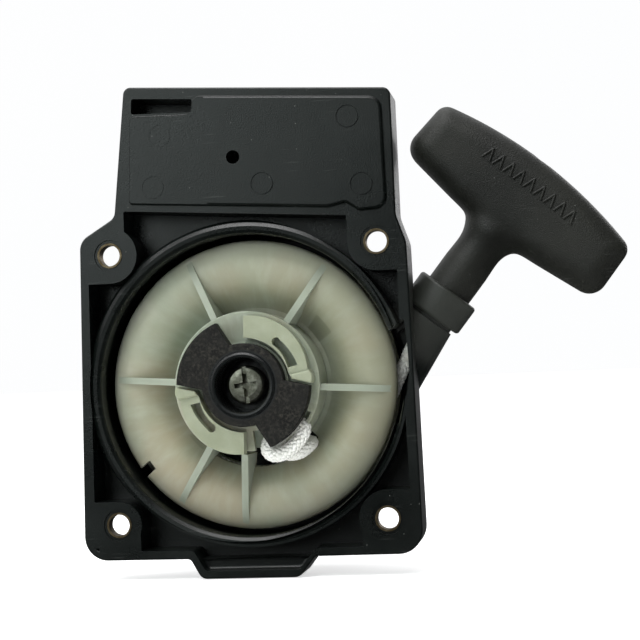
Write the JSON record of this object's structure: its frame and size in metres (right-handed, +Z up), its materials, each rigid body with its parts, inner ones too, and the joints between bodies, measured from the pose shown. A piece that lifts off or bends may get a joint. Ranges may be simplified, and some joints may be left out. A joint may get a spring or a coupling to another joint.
{
  "type": "recoil starter",
  "caption": "Pull-rope recoil starter for a small engine: flanged black case, dished rope reel with pawls and a two-wing cam plate, and a T-handle.",
  "frame": {"origin": "centre of the bolt pattern on the reel's axis, in the plane of the flange that meets the engine", "axes": "-Y points at the engine along the crank axis, +Z is up as fitted, +X is to the right seen from the engine"},
  "size_m": [0.1505, 0.0402, 0.1353],
  "materials": {
    "black_nylon": "semi-matte moulded, fine grain",
    "cam_black": "matte, grained",
    "reel_nylon": "milky translucent, satin",
    "pawl_nylon": "cream, satin",
    "zinc_steel": "zinc plated, dull",
    "dark_steel": "blackened",
    "spring_steel": "blued, smooth",
    "brass": "plain",
    "rope_nylon": "braided nylon"
  },
  "bodies": {
    "case": {"starter_case": "black_nylon", "mounting_bushes": "brass", "rope_guide_bush": "black_nylon", "rope_eyelet": "zinc_steel", "axle_sleeve": "zinc_steel", "retaining_washer": "dark_steel", "centre_screw": "zinc_steel", "spring_cup": "black_nylon", "spring_cover": "dark_steel", "recoil_spring": "spring_steel", "rope_lead": "rope_nylon"},
    "reel": {"reel": "reel_nylon", "reel_hub_bush": "brass", "friction_spring": "spring_steel", "rope_windings": "rope_nylon", "rope_reel_knot": "rope_nylon"},
    "cam_plate": {"cam_plate": "cam_black"},
    "pawl_upper": {"pawl_upper": "pawl_nylon"},
    "pawl_lower": {"pawl_lower": "pawl_nylon"},
    "handle": {"handle_grip": "black_nylon", "rope_in_handle": "rope_nylon", "rope_handle_knot": "rope_nylon", "knot_washer": "zinc_steel"}
  },
  "joints": [
    {"name": "handle_pull", "type": "slide", "parent": "case", "child": "handle", "axis": [0.6266, 0, 0.7793], "range_m": [0, 0.7], "stiffness_N_per_m": 12, "springref_m": -0.7},
    {"name": "reel_spin", "type": "hinge", "parent": "case", "child": "reel", "pos_m": [0, 0, 0], "axis": [0, -1, 0], "range_deg": [0, 1340], "deforming": ["recoil_spring"]},
    {"name": "cam_plate_turn", "type": "hinge", "parent": "reel", "child": "cam_plate", "pos_m": [0, 0, 0], "axis": [0, -1, 0], "range_deg": [-30, 0]},
    {"name": "pawl_upper_swing", "type": "hinge", "parent": "reel", "child": "pawl_upper", "pos_m": [0.01536, 0, 0.00271], "axis": [0, -1, 0], "range_deg": [-21, 0]},
    {"name": "pawl_lower_swing", "type": "hinge", "parent": "reel", "child": "pawl_lower", "pos_m": [-0.01536, 0, -0.00271], "axis": [0, -1, 0], "range_deg": [-21, 0]}
  ],
  "couplings": [
    {"joint": "reel_spin", "follows": "handle_pull", "rad_per_m": 33},
    {"joint": "pawl_upper_swing", "follows": "cam_plate_turn", "ratio": 0.6667},
    {"joint": "pawl_lower_swing", "follows": "cam_plate_turn", "ratio": 0.6667}
  ]
}
